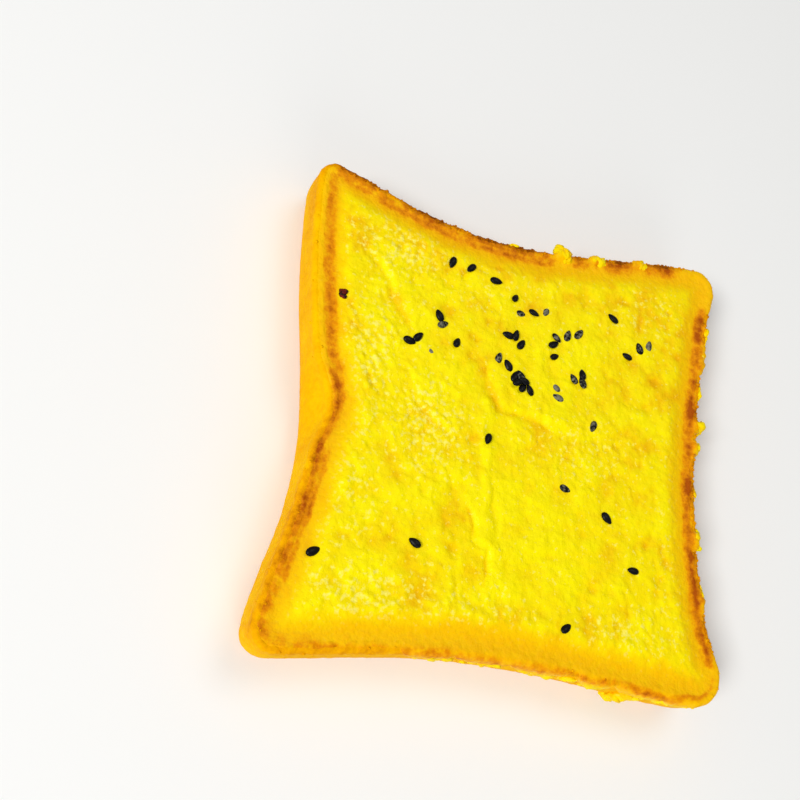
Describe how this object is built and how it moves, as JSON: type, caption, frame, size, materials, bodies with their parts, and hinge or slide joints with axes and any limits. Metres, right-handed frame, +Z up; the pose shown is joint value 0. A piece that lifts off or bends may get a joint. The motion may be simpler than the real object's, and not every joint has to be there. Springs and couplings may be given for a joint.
{
  "type": "buttered toast",
  "caption": "Thick square slice of white toast with pinched-in sides and a brown crust, under a soft butter spread that runs over the crust.",
  "frame": {"origin": "bottom centre of the toast's bounding box", "axes": "+Z up through the thickness, from the base to the buttered face; +X and +Y along the slice's two widths, with the buttered face's small lumps at +X, -Y and +Y"},
  "size_m": [0.1118, 0.1134, 0.018],
  "materials": {
    "toasted_bread": "dry baked crust",
    "butter": "soft satin"
  },
  "bodies": {
    "root": {"bread_slice": "toasted_bread", "butter_spread": "butter"}
  },
  "joints": []
}
